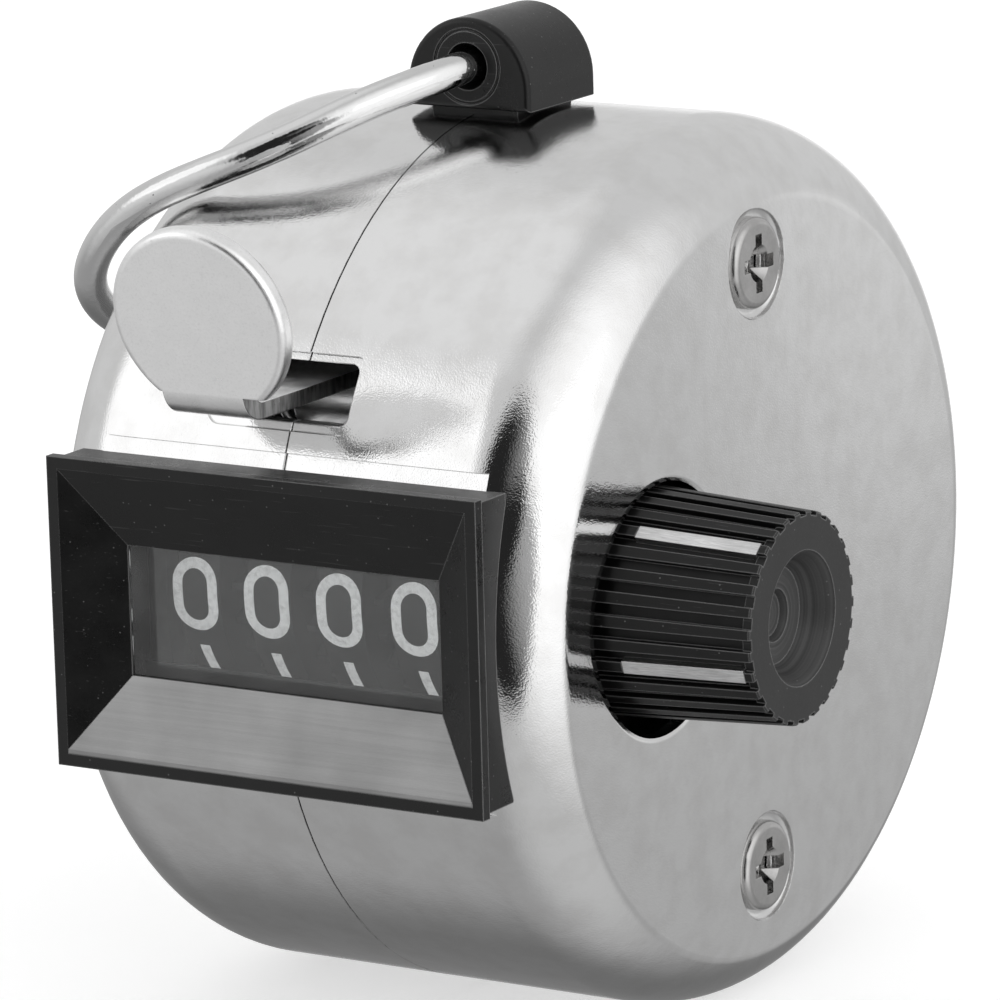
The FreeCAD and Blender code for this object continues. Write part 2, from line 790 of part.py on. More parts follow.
def frame_tie_rods():
    rods = []
    for number, (y, z) in enumerate(TIE_RODS):
        body = rod(f"rod_body_{number}", "rod_radius", "left_plate + plate_thickness",
                   "right_plate", y, z)
        tenon = rod(f"rod_tenon_{number}", "tenon_radius", "left_plate",
                    "right_plate + plate_thickness", y, z)
        rods.append(fuse(f"tie_rod_{number}", body, tenon))
    keep(group("rods", *rods), "frame_tie_rods")


def shaft_bush(label, start, flange_start):
    sleeve = rod(label + "_sleeve", "bush_radius", start, f"{start} + plate_thickness",
                 "wheel_y", "wheel_z")
    flange = rod(label + "_flange", "bush_radius + 0.8", flange_start, f"{flange_start} + 0.5",
                 "wheel_y", "wheel_z")
    bore = rod(label + "_bore", "shaft_radius + running_gap", -REACH, REACH,
               "wheel_y", "wheel_z")
    keep(cut(label + "_cut", fuse(label + "_blank", sleeve, flange), bore), label)


def cross_pin(label, y, z):
    keep(rod(label + "_rod", "pin_radius", "left_plate", "right_plate + plate_thickness", y, z),
         label)


def coil_spring(label, start, turns, pitch, radius, wire, y, z):
    """Torsion spring wound along X."""
    helix = doc.addObject("Part::Helix", label + "_helix")
    helix.Pitch = pitch
    helix.Height = pitch * turns
    helix.Radius = radius
    section = doc.addObject("Part::Circle", label + "_section")
    section.Radius = wire
    section.Placement = FreeCAD.Placement(Vector(radius, 0, 0),
                                          Rotation(Vector(1, 0, 0), 90))
    sweep = doc.addObject("Part::Sweep", label + "_sweep")
    doc.recompute()
    sweep.Sections = [section]
    sweep.Spine = (helix, ["Edge1"])
    sweep.Solid = True
    sweep.Frenet = True
    keep(place(sweep, start, y, z, ALONG_X), label)


# Thumb lever

def thumb_lever():
    """Leaning thumb pad, bent neck and arm of one sheet, welded to a hub on the pivot pin."""
    out = f"sin({SIZES['pad_lean']})"
    up = f"cos({SIZES['pad_lean']})"
    arm_top = "arm_low + arm_sheet"
    outer = "(arm_bend + lever_sheet)"
    outer_z = f"(arm_low + {outer})"
    drop = f"((pad_height + {outer} * {out} - {outer_z}) / {up})"
    outer_y = f"(pad_front + {drop} * {out} + {outer} * {up})"
    back_y = f"(pad_front + lever_sheet * {up})"
    back_z = f"(pad_height + lever_sheet * {out})"
    inner_z = "(arm_low + arm_sheet + arm_bend)"
    inner_y = f"({back_y} + (arm_bend - ({inner_z} - {back_z}) * {out}) / {up})"
    strip = new_body("lever_strip")
    sketch = new_sketch(strip, "lever_strip_sketch", "YZ_Plane")
    outline(sketch, [
        ("pad_front", "pad_height"),
        (f"{outer_y} - {outer} * {up}", f"{outer_z} - {outer} * {out}"),
        (outer_y, "arm_low", outer_y, outer_z, 1),
        ("lever_pivot_y", "arm_low"),
        ("lever_pivot_y", arm_top),
        (inner_y, arm_top),
        (f"{inner_y} - arm_bend * {up}", f"{inner_z} - arm_bend * {out}",
         inner_y, inner_z, -1),
        (back_y, back_z)])
    padded(strip, "lever_strip_pad", sketch, "lever_width")
    place(strip, "lever_left", 0, 0)
    leaning = Rotation(Vector(1, 0, 0), SIZES["pad_lean"] - 90)
    disc = rod("pad_disc", "pad_radius", "pad_front", "pad_front + lever_sheet",
               "pad_middle", "pad_height", leaning)
    disc = rounded("pad_rounded", disc, 0.38, lambda edge: len(edge.Vertexes) == 1)
    below_pad = box("pad_trimmer", ("pad_middle - pad_radius - 1", -REACH, 0),
                    ("pad_middle + pad_radius + 1", "lever_pivot_y", f"{outer_z} - {outer} * {out}"))
    pad = cut("pad", disc, below_pad)
    hub = rod("lever_hub", "hub_radius", "lever_left", "verge_start - 0.01",
              "lever_pivot_y", "lever_pivot_z")
    bore = rod("lever_bore", "pin_radius + running_gap", -REACH, REACH,
               "lever_pivot_y", "lever_pivot_z")
    keep(cut("lever_cut", fuse("lever_blank", strip, pad, hub), bore), "thumb_lever")


def verge_anchor():
    """Rocker with two pallets, one on each side of the star wheel."""
    end = "verge_start + verge_width"
    hub = rod("verge_hub", 2.2, "verge_start", end, "lever_pivot_y", "lever_pivot_z")
    bar = box("verge_bar", ("verge_start", "lever_pivot_y - 5.6", "lever_pivot_z - 1.8"),
              (end, "lever_pivot_y + 8.2", "lever_pivot_z - 0.5"))
    front = box("verge_front_pallet",
                ("verge_start", "lever_pivot_y - 5.6", "lever_pivot_z - 4.4"),
                (end, "lever_pivot_y - 4.8", "lever_pivot_z - 0.5"))
    rear = box("verge_rear_pallet",
               ("verge_start", "lever_pivot_y + 7.2", "lever_pivot_z - 5.6"),
               (end, "lever_pivot_y + 8.2", "lever_pivot_z - 0.5"))
    bore = rod("verge_bore", "pin_radius + running_gap", -REACH, REACH,
               "lever_pivot_y", "lever_pivot_z")
    holes = [rod(f"verge_rivet_hole_{number}", 0.27, "verge_start", end, "lever_pivot_y",
                 f"lever_pivot_z + {sign} * 1.2") for number, sign in enumerate((1, -1))]
    keep(cut("verge_cut", fuse("verge_blank", hub, bar, front, rear), bore, *holes),
         "verge_anchor")


def verge_rivets():
    rivets = []
    for number, sign in enumerate((1, -1)):
        height = f"lever_pivot_z + {sign} * 1.2"
        shank = rod(f"rivet_shank_{number}", 0.25, "verge_start",
                    "verge_start + verge_width", "lever_pivot_y", height)
        head = rod(f"rivet_head_{number}", 0.34, "verge_start + verge_width",
                   "verge_start + verge_width + 0.25", "lever_pivot_y", height)
        rivets.append(fuse(f"rivet_{number}", shank, head))
    keep(group("rivets", *rivets), "verge_rivets")


# Pinion carrier

def pinion_carrier():
    """Two side arms on a tube; they hold the pinion shaft and swing on the carrier pin."""
    solids = [rod("carrier_tube", 1.6, "carrier_left", "carrier_right + carrier_sheet",
                  "carrier_y", "carrier_z")]
    for side, start in (("left", "carrier_left"), ("right", "carrier_right")):
        end = f"{start} + carrier_sheet"
        solids.append(rod(f"carrier_eye_{side}", 1.4, start, end, "pinion_y", "pinion_z"))
        arm = box(f"carrier_arm_{side}", (0, 0, 0), ("carrier_sheet", 7.0, 2.4))
        arm.Placement.Rotation = Rotation(Vector(1, 0, 0), 45)
        # The arm's low edge runs 1.2 below the line from pinion to pivot.
        place(arm, start, "pinion_y + 1.2 * sin(45)", "pinion_z - 1.2 * cos(45)")
        solids.append(arm)
    finger = box("carrier_finger", (0, 0, 0), ("carrier_sheet", 5.4, 1.2))
    finger.Placement.Rotation = Rotation(Vector(1, 0, 0), 159.5)
    place(finger, "carrier_left", -4.1, -1.5)
    solids.append(finger)
    bore = rod("carrier_bore", "pin_radius + running_gap", -REACH, REACH,
               "carrier_y", "carrier_z")
    eye = rod("pinion_shaft_hole", "pinion_shaft_radius + 0.02", -REACH, REACH,
              "pinion_y", "pinion_z")
    keep(cut("carrier_cut", fuse("carrier_blank", *solids), bore, eye), "pinion_carrier")


def pinion_shaft():
    keep(rod("pinion_rod", "pinion_shaft_radius", "carrier_left",
             "carrier_right + carrier_sheet", "pinion_y", "pinion_z"), "pinion_shaft")


# Ring holder and finger ring

def ring_holder():
    """Moulded block with an arched top; its neck passes the seam and ends in a foot inside."""
    block = new_body("holder_block")
    sketch = new_sketch(block, "holder_sketch", "XZ_Plane")
    outline(sketch, [
        ("-holder_half_width", "holder_base"),
        ("holder_half_width", "holder_base"),
        ("holder_half_width", "holder_shoulder"),
        ("-holder_half_width", "holder_shoulder", 0, "holder_shoulder", 1)])
    padded(block, "holder_pad", sketch, "2 * holder_half_length")
    place(block, 0, "holder_half_length", 0)
    block = rounded("holder_rounded", block, 0.3, lambda edge: on_end_face(edge))
    neck = box("holder_neck", ("-neck_half_width", "-neck_half_length", "foot_high - 0.1"),
               ("neck_half_width", "neck_half_length", "holder_base + 0.3"))
    foot = box("holder_foot", ("-4.8", "-2.9", "foot_low"), ("4.8", "2.9", "foot_high"))
    hole = rod("holder_hole", "wire_radius + 0.07", "-holder_half_length - 1",
               "holder_half_length + 1", 0, "hinge_height", ALONG_Y)
    lines = [tube(f"holder_line_{number}", 1.95, 1.78, f"{place_y} - 0.15",
                  f"{place_y} + 0.15", 0, "hinge_height", ALONG_Y)
             for number, place_y in enumerate(("-holder_half_length", "holder_half_length"))]
    mouths = []
    for name, start, turn in (("front", "-holder_half_length", -90),
                              ("back", "holder_half_length", 90)):
        mouth = doc.addObject("Part::Cone", f"hole_mouth_{name}")
        bind(mouth, "Radius1", "wire_radius + 0.35")
        bind(mouth, "Radius2", "wire_radius + 0.05")
        bind(mouth, "Height", 0.8)
        mouths.append(place(mouth, 0, start, "hinge_height", Rotation(Vector(1, 0, 0), turn)))
    keep(cut("holder_cut", fuse("holder_blank", block, neck, foot), hole, *mouths, *lines),
         "ring_holder")


def on_end_face(edge):
    """True for the outline edges of the holder's two end faces."""
    middle = edge.valueAt((edge.FirstParameter + edge.LastParameter) / 2)
    return abs(abs(middle.y) - value("holder_half_length")) < 1e-6


def finger_ring():
    """Round wire: two pintles in the holder, arms over the drum and a loop past its left end."""
    hinge = value("hinge_height")
    mouth = Vector(0, -value("holder_half_length"), hinge)
    tip = Vector(0, -0.3, hinge)
    outwards = Vector(0, -1, 0)
    stations = [mouth] + [Vector(*point) for point in (
        (-0.5, -5.2, 24.6), (-2.6, -8.5, 23.6), (-5.7, -11.2, 21.95), (-9.1, -12.4, 20.5),
        (-15.0, -12.5, 17.5), (-17.9, -11.1, 14.3), (-19.2, -7.0, 11.2), (-19.5, 0.0, 9.8))]
    arm = Part.BSplineCurve()
    arm.interpolate(Points=stations, InitialTangent=outwards, FinalTangent=-outwards, Scale=False)
    path = Part.Wire([Part.makeLine(tip, mouth), arm.toShape()])
    section = Part.Wire([Part.makeCircle(value("wire_radius"), tip, outwards)])
    front = path.makePipeShell([section], True, False)
    back = front.mirror(Vector(0, 0, 0), Vector(0, 1, 0))
    ring = doc.addObject("Part::Feature", "ring")
    ring.Shape = front.fuse(back).removeSplitter()
    ring.Placement = FreeCAD.Placement()
    keep(ring, "finger_ring")


def build_all():
    left_case_shell()
    right_case_shell()
    case_screws()
    screw_posts()
    window_bezel()
    bezel_trim_strip()
    window_lens()
    for index, name in enumerate(WHEELS):
        number_wheel(index, name)
        reset_pawl(index, name)
        if index > 0:
            transfer_pinion(index, name)
    star_wheel()
    reset_shaft()
    reset_knob()
    reset_cam()
    shaft_clips()
    frame_plate("left_frame_plate", "left_plate")
    frame_plate("right_frame_plate", "right_plate")
    frame_tie_rods()
    shaft_bush("left_shaft_bush", "left_plate", "left_plate - 0.5")
    shaft_bush("right_shaft_bush", "right_plate", "right_plate + plate_thickness")
    cross_pin("lever_pivot_pin", "lever_pivot_y", "lever_pivot_z")
    cross_pin("carrier_pivot_pin", "carrier_y", "carrier_z")
    coil_spring("lever_return_spring", -8.2, 4, 1.0, 1.3, 0.25,
                "lever_pivot_y", "lever_pivot_z")
    coil_spring("carrier_spring", -7.2, 4, 0.9, 2.1, 0.22, "carrier_y", "carrier_z")
    thumb_lever()
    verge_anchor()
    verge_rivets()
    pinion_carrier()
    pinion_shaft()
    ring_holder()
    finger_ring()
    doc.recompute()


def check_all():
    for item in doc.Objects:
        if "Invalid" in item.State or "Error" in item.State:
            raise RuntimeError(f"{item.Name} failed: {item.State}")
    for label, item in nodes.items():
        if item.Shape.isNull() or not item.Shape.isValid() or not item.Shape.Solids:
            raise RuntimeError(f"{label} has no valid solid")


def write_all():
    os.makedirs("parts", exist_ok=True)
    for label, item in nodes.items():
        item.Shape.exportStep(f"parts/{label}.step")
        print(f"{label}: {len(item.Shape.Solids)} solid(s), {item.Shape.Volume:.1f} mm3")


fill_sheet()
build_all()
check_all()
write_all()
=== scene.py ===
import json
import math

import bmesh
import bpy
from mathutils import Matrix, Vector


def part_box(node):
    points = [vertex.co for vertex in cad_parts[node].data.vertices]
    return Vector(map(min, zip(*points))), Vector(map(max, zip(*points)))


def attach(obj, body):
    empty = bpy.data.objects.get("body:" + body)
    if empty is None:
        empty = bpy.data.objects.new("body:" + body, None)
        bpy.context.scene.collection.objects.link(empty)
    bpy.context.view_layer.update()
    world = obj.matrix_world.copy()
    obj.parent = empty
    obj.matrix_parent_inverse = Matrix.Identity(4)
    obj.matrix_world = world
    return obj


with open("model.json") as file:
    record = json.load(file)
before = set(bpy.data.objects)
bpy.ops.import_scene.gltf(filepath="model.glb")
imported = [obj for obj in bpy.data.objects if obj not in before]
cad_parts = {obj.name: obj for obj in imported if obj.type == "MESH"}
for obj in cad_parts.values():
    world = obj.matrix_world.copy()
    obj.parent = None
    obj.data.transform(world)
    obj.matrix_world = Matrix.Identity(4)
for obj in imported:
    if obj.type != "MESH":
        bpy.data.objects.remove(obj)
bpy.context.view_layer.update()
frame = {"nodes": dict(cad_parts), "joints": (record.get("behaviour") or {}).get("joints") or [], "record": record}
NODES = frame["nodes"]
MM = 0.001

# A hand tally counter: chromed drum, black window bezel, thumb lever, reset knob, wire ring.

# Places in metres, most of them taken from the frame
WHEEL_NAMES = ("units", "tens", "hundreds", "thousands")
WHEEL_AXIS = next(Vector(joint["pos_m"]) for joint in frame["joints"]
                  if joint["name"] == "units_wheel_turn")
LEFT_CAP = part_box("left_case_shell")[0].x
RIGHT_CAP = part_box("right_case_shell")[1].x
DRUM_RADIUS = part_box("right_case_shell")[1].z
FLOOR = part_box("right_case_shell")[0].z
SHOULDER = 5.5 * MM

# Places in millimetres, which only the finishes use
SKIN_TOLERANCE = 0.02        # distance off the exact drum within which a face is its skin
CAPS_FROM = 13.0             # distance from the seam past which skin belongs to a cap
CREASE_RADIUS = 19.2         # of the soft crease round each cap
CREASE_Y = -0.8
CREASE_Z = -0.45
CAP_CROWN = 0.0035           # slope gained per millimetre from the cap's middle
KNOB_HOLE_FROM = 15.0        # X past which the rim of the knob hole lies
KNOB_HOLE_DROP = 0.35        # of the hole's middle below the knob's axis
KNOB_HOLE_RADIUS = 6.3
KNOB_START = 12.5            # X at which the fluted part starts
KNOB_FACE = 23.05            # X at which the flutes give way to the end face
KNOB_RADIUS = 5.8            # of the ridges at the knob's start
KNOB_TAPER = 0.0544          # radius lost per millimetre towards the knob's end
DISH_FROM = 20.0             # X past which the knob's turned dish lies
DISH_RADIUS = 3.2
KNOB_FOIL_FROM = 14.0        # X past which foil is on the knob and not on the bezel
NECK_TOP = 12.9              # height below which the arm's side facing +X gets painted shade over its ribbed sheared edge


# ---------------------------------------------------------------- shader helpers

class Shader:
    """A material's node tree, with short calls that add a node and join its inputs."""

    def __init__(self, name):
        self.material = bpy.data.materials.new(name)
        self.material.use_nodes = True
        self.tree = self.material.node_tree
        self.surface = self.tree.nodes["Principled BSDF"]
        self.output = self.tree.nodes["Material Output"]
        self.coordinates = self.add("ShaderNodeTexCoord").outputs
        self.mm = self.vector("SCALE", self.coordinates["Object"], scale=1 / MM)

    def add(self, kind, inputs=None, **settings):
        made = self.tree.nodes.new(kind)
        for key, setting in settings.items():
            setattr(made, key, setting)
        for key, source in (inputs or {}).items():
            self.join(made.inputs[key], source)
        return made

    def join(self, socket, source):
        if isinstance(source, bpy.types.NodeSocket):
            self.tree.links.new(source, socket)
        else:
            socket.default_value = source

    def math(self, operation, first, second=0.0):
        made = self.add("ShaderNodeMath", {0: first, 1: second}, operation=operation)
        return made.outputs[0]

    def vector(self, operation, first, second=(0, 0, 0), scale=1.0):
        made = self.add("ShaderNodeVectorMath", {0: first, 1: second}, operation=operation)
        if operation == "SCALE":
            self.join(made.inputs["Scale"], scale)
        return made.outputs["Value" if operation in ("LENGTH", "DOT_PRODUCT") else "Vector"]

    def split(self, vector):
        """X, Y and Z of a vector."""
        return self.add("ShaderNodeSeparateXYZ", {"Vector": vector}).outputs

    def across(self, y, z):
        """Vector across the drum's axis, with no part along X."""
        return self.add("ShaderNodeCombineXYZ", {"Y": y, "Z": z}).outputs[0]

    def stretched(self, x, y, z):
        """Object place in millimetres, scaled along each axis."""
        return self.add("ShaderNodeMapping", {"Vector": self.mm, "Scale": (x, y, z)}).outputs[0]

    def noise(self, place, scale, detail=3.0, roughness=0.55):
        made = self.add("ShaderNodeTexNoise", {
            "Vector": place, "Scale": scale, "Detail": detail, "Roughness": roughness})
        return made.outputs["Fac"]

    def spots(self, place, scale, size):
        """Scattered small round spots, 1 inside a spot."""
        cells = self.add("ShaderNodeTexVoronoi", {"Vector": place, "Scale": scale})
        return self.ramp(cells.outputs["Distance"], size * 0.5, size, 1.0, 0.0)

    def ramp(self, factor, low, high, at_low=0.0, at_high=1.0):
        """Linear from at_low, where the factor is low, to at_high, where it is high."""
        made = self.add("ShaderNodeMapRange", {
            "Value": factor, "From Min": low, "From Max": high,
            "To Min": at_low, "To Max": at_high})
        return made.outputs["Result"]

    def blend(self, factor, first, second):
        made = self.add("ShaderNodeMix", {"Factor": factor}, data_type="RGBA")
        self.join(made.inputs["A"], first)
        self.join(made.inputs["B"], second)
        return made.outputs["Result"]

    def blend_vectors(self, factor, first, second):
        made = self.add("ShaderNodeMix", {"Factor": factor}, data_type="VECTOR")
        ends = [socket for socket in made.inputs if socket.type == "VECTOR"][-2:]
        self.join(ends[0], first)
        self.join(ends[1], second)
        return next(socket for socket in made.outputs if socket.type == "VECTOR")

    def bump(self, height, depth_mm, normal=None):
        """Bump whose height of 1 stands depth_mm proud."""
        made = self.add("ShaderNodeBump", {
            "Height": height, "Distance": depth_mm * MM, "Strength": 1.0})
        if normal is not None:
            self.join(made.inputs["Normal"], normal)
        return made.outputs["Normal"]

    def eased_edges(self, radius_mm):
        made = self.add("ShaderNodeBevel", {"Radius": radius_mm * MM}, samples=6)
        return made.outputs["Normal"]

    def set(self, **inputs):
        for key, source in inputs.items():
            self.join(self.surface.inputs[key.replace("_", " ")], source)


def grey(level, warmth=0.0):
    return (level * (1 + warmth), level, level * (1 - warmth), 1.0)


# ---------------------------------------------------------------- materials

def case_normal(shader):
    """Exact outward normal of the drum and its rounded shoulders; other faces keep their own."""
    x, y, z = shader.split(shader.mm)
    right = shader.math("MAXIMUM", shader.math("SUBTRACT", x, (RIGHT_CAP - SHOULDER) / MM), 0.0)
    left = shader.math("MINIMUM", shader.math("SUBTRACT", x, (LEFT_CAP + SHOULDER) / MM), 0.0)
    along = shader.math("ADD", right, left)
    ring = shader.across(y, z)
    distance = shader.vector("LENGTH", ring)
    outwards = shader.math("MAXIMUM", shader.math(
        "SUBTRACT", distance, (DRUM_RADIUS - SHOULDER) / MM), 0.0)
    share = shader.math("DIVIDE", outwards, distance)
    lean = shader.vector("SCALE", ring, scale=share)
    slope = shader.vector("ADD", lean, shader.add("ShaderNodeCombineXYZ", {"X": along}).outputs[0])
    exact = shader.vector("NORMALIZE", slope)
    off_skin = shader.math("ABSOLUTE", shader.math(
        "SUBTRACT", shader.vector("LENGTH", slope), SHOULDER / MM))
    on_skin = shader.math("LESS_THAN", off_skin, SKIN_TOLERANCE)
    skin = rolled_hole(shader, x, y, z, pressed_cap(shader, x, y, z, exact))
    return shader.blend_vectors(on_skin, shader.eased_edges(0.12), skin)


def pressed_cap(shader, x, y, z, exact):
    """The press flattens each cap a little past its rounded corner, up to a soft crease."""
    off_y = shader.math("SUBTRACT", y, CREASE_Y)
    off_z = shader.math("SUBTRACT", z, CREASE_Z)
    from_middle = shader.vector("LENGTH", shader.across(off_y, off_z))
    near_cap = shader.math("GREATER_THAN", shader.math("ABSOLUTE", x), CAPS_FROM)
    inside = shader.ramp(from_middle, CREASE_RADIUS + 0.2, CREASE_RADIUS - 0.2)
    crowned = shader.add("ShaderNodeCombineXYZ", {
        "X": shader.math("SIGN", x),
        "Y": shader.math("MULTIPLY", off_y, CAP_CROWN),
        "Z": shader.math("MULTIPLY", off_z, CAP_CROWN)}).outputs[0]
    return shader.blend_vectors(shader.math("MULTIPLY", near_cap, inside), exact, crowned)


def rolled_hole(shader, x, y, z, normal):
    """The rim of the knob hole is rolled inwards over its last quarter of a millimetre."""
    off_y = shader.math("SUBTRACT", y, WHEEL_AXIS.y / MM)
    off_z = shader.math("SUBTRACT", z, WHEEL_AXIS.z / MM - KNOB_HOLE_DROP)
    inward = shader.vector("NORMALIZE", shader.across(
        shader.math("MULTIPLY", off_y, -1.0), shader.math("MULTIPLY", off_z, -1.0)))
    distance = shader.vector("LENGTH", shader.across(off_y, off_z))
    on_cap = shader.math("GREATER_THAN", x, KNOB_HOLE_FROM)
    lean = shader.math("MULTIPLY", on_cap, shader.ramp(
        distance, KNOB_HOLE_RADIUS + 0.26, KNOB_HOLE_RADIUS + 0.12, 0.0, 0.36))
    return shader.vector("NORMALIZE", shader.blend_vectors(lean, normal, inward))


def chrome_case():
    """Bright plate over drawn sheet: slow waves from the press, fine orange peel, faint haze."""
    shader = Shader("chrome_case_plate")
    waves = shader.noise(shader.mm, 0.16, 1.0)
    peel = shader.noise(shader.mm, 1.6, 2.0)
    grain = shader.noise(shader.mm, 11.0, 1.0)
    normal = shader.bump(waves, 0.04, case_normal(shader))
    normal = shader.bump(peel, 0.006, normal)
    normal = shader.bump(grain, 0.0065, normal)
    haze = shader.noise(shader.mm, 0.5, 4.0)
    rubbing_and_edge_highlight = shader.noise(shader.stretched(0.4, 6, 6), 1.1, 4.0)
    rough = shader.math("ADD", shader.ramp(haze, 0.35, 0.7, 0.06, 0.10),
                        shader.ramp(rubbing_and_edge_highlight, 0.5, 0.8, 0.0, 0.03))
    tone = shader.blend(shader.ramp(haze, 0.4, 0.65), grey(0.80), grey(0.74, 0.004))
    shader.set(Base_Color=tone, Metallic=1.0, Roughness=rough, Normal=normal)
    return shader.material


def chrome_wire():
    """Plated wire: bright, with fine drawing lines round the bends."""
    shader = Shader("chrome_wire_plate")
    lines = shader.noise(shader.mm, 3.2, 4.0)
    pits = shader.spots(shader.mm, 1.3, 0.07)
    normal = shader.bump(lines, 0.006)
    normal = shader.bump(pits, 0.01, normal)
    rough = shader.ramp(lines, 0.3, 0.7, 0.06, 0.14)
    tone = shader.blend(pits, grey(0.72), grey(0.4))
    shader.set(Base_Color=tone, Metallic=1.0, Roughness=rough, Normal=normal)
    return shader.material


def satin_steel():
    """Blasted and plated thumb lever: soft sheen, mottled; the arm's side facing +X is darkened, painted shade
    over its ribbed sheared edge.
    """
    shader = Shader("lever_satin_steel")
    blast = shader.noise(shader.mm, 7.5, 4.0, 0.65)
    mottle = shader.noise(shader.mm, 0.9, 4.0, 0.6)
    normal = shader.bump(blast, 0.006, shader.eased_edges(0.10))
    rough = shader.ramp(mottle, 0.3, 0.7, 0.27, 0.38)
    tone = shader.blend(shader.ramp(mottle, 0.35, 0.65), grey(0.95), grey(1.0))
    tone = shader.blend(shader.ramp(blast, 0.50, 0.8, 0.0, 0.40), tone, grey(0.70))
    # Painted shade: faces turned to +X below NECK_TOP go dark, ribbed like a sheared edge.
    facing = shader.split(shader.coordinates["Normal"])["X"]
    shaded_sheared_side = shader.math("MULTIPLY", shader.math("GREATER_THAN", facing, 0.8),
                          shader.math("LESS_THAN", shader.split(shader.mm)["Z"], NECK_TOP))
    ribs = shader.noise(shader.stretched(0.4, 3.2, 0.5), 1.0, 3.0)
    sheared_side_shade = shader.blend(shader.ramp(ribs, 0.38, 0.62), grey(0.05), grey(0.26))
    tone = shader.blend(shader.math("MULTIPLY", shaded_sheared_side, 0.9), tone, sheared_side_shade)
    shader.set(Base_Color=tone, Metallic=1.0, Roughness=rough, Normal=normal)
    return shader.material


def black_moulding(name, level, rough_low, rough_high, shine, dust, edge=0.0, fluted=False):
    """Moulded black plastic with a faint spark texture, hairlines and a little dust; with edge set, a painted
    highlight along its eased edges, and with fluted, the knob's dust, paler dish and painted shade in its flutes.
    """
    shader = Shader(name)
    spark = shader.noise(shader.mm, 6.0, 5.0, 0.6)
    cloud = shader.noise(shader.mm, 0.45, 3.0)
    hair = shader.noise(shader.stretched(0.25, 9, 9), 1.0, 3.0)
    scratch = shader.ramp(hair, 0.66, 0.70)
    specks = shader.spots(shader.mm, 1.7, 0.085)
    normal = shader.bump(spark, 0.004, shader.eased_edges(0.09))
    normal = shader.bump(scratch, 0.0015, normal)
    rough = shader.math("ADD", shader.ramp(cloud, 0.3, 0.7, rough_low, rough_high),
                        shader.ramp(spark, 0.4, 0.7, 0.0, 0.05))
    tone = shader.blend(shader.ramp(cloud, 0.35, 0.7), grey(level), grey(level * 1.6))
    tone = shader.blend(shader.math("MULTIPLY", scratch, 0.12), tone, grey(0.25))
    tone = shader.blend(shader.math("MULTIPLY", specks, dust), tone, grey(0.35))
    if fluted:
        tone = knob_dust_and_flute_shade(shader, tone, level, spark)
    # Painted highlight: where edge is set, a pale grey line runs along the eased edges.
    if edge:
        rubbing_and_edge_highlight = shader.vector("DOT_PRODUCT", shader.eased_edges(0.10),
                               shader.add("ShaderNodeNewGeometry").outputs["Normal"])
        tone = shader.blend(shader.ramp(rubbing_and_edge_highlight, 0.985, 0.93, 0.0, edge), tone, grey(0.32))
    shader.set(Base_Color=tone, Roughness=rough, Normal=normal)
    shader.set(Specular_IOR_Level=shine)
    return shader.material


def knob_dust_and_flute_shade(shader, tone, level, spark):
    """Knob moulding: dull dust on its end, paler turned dish, and painted shade on the floors of the flutes."""
    x, y, z = shader.split(shader.mm)
    radius = shader.vector("LENGTH", shader.across(
        shader.math("SUBTRACT", y, WHEEL_AXIS.y / MM),
        shader.math("SUBTRACT", z, WHEEL_AXIS.z / MM)))
    ridge = shader.math("SUBTRACT", KNOB_RADIUS, shader.math(
        "MULTIPLY", shader.math("SUBTRACT", x, KNOB_START), KNOB_TAPER))
    depth = shader.math("SUBTRACT", ridge, radius)
    on_side = shader.math("LESS_THAN", x, KNOB_FACE)
    # Painted shade: the floors of the flutes go near-black with their depth below the ridges.
    floor = shader.math("MULTIPLY", on_side, shader.ramp(depth, 0.08, 0.28, 0.0, 0.92))
    tone = shader.blend(floor, tone, grey(level * 0.12))
    facing = shader.split(shader.coordinates["Normal"])["X"]
    film = shader.math("MULTIPLY", shader.ramp(facing, 0.5, 1.0),
                       shader.ramp(spark, 0.2, 0.7, 0.05, 0.09))
    tone = shader.blend(film, tone, grey(0.30))
    turned = shader.add("ShaderNodeCombineXYZ", {"X": shader.math("MULTIPLY", radius, 7.0)})
    rings = shader.noise(turned.outputs[0], 1.0, 3.0)
    dish = shader.math("MULTIPLY", shader.math("GREATER_THAN", x, DISH_FROM),
                       shader.ramp(radius, DISH_RADIUS + 0.15, DISH_RADIUS))
    dish = shader.math("MULTIPLY", dish, shader.ramp(rings, 0.35, 0.65, 0.10, 0.28))
    return shader.blend(dish, tone, grey(0.30))


def brushed_foil():
    """Brushed bright foil with its lines along X; the wide bezel strip is the duller one."""
    shader = Shader("bright_brushed_foil")
    lines = shader.noise(shader.stretched(0.9, 15, 15), 1.0, 4.0, 0.7)
    long_lines = shader.noise(shader.stretched(0.08, 5, 5), 1.0, 2.0)
    cloud = shader.noise(shader.mm, 0.22, 2.0)
    normal = shader.bump(lines, 0.004, shader.eased_edges(0.05))
    rough = shader.ramp(lines, 0.3, 0.7, 0.28, 0.46)
    on_knob = shader.math("GREATER_THAN", shader.split(shader.mm)["X"], KNOB_FOIL_FROM)
    low = shader.ramp(on_knob, 0.0, 1.0, 0.27, 0.55)
    high = shader.ramp(on_knob, 0.0, 1.0, 0.35, 0.85)
    level = shader.math("ADD", low, shader.math(
        "MULTIPLY", shader.ramp(lines, 0.3, 0.7), shader.math("SUBTRACT", high, low)))
    level = shader.math("MULTIPLY", level, shader.ramp(long_lines, 0.35, 0.62, 1.04, 0.96))
    level = shader.math("MULTIPLY", level, shader.ramp(cloud, 0.35, 0.65, 0.9, 1.1))
    tone = shader.add("ShaderNodeCombineColor", {"Red": level, "Green": level, "Blue": level})
    shader.set(Base_Color=tone.outputs[0], Metallic=1.0, Roughness=rough, Normal=normal)
    return shader.material


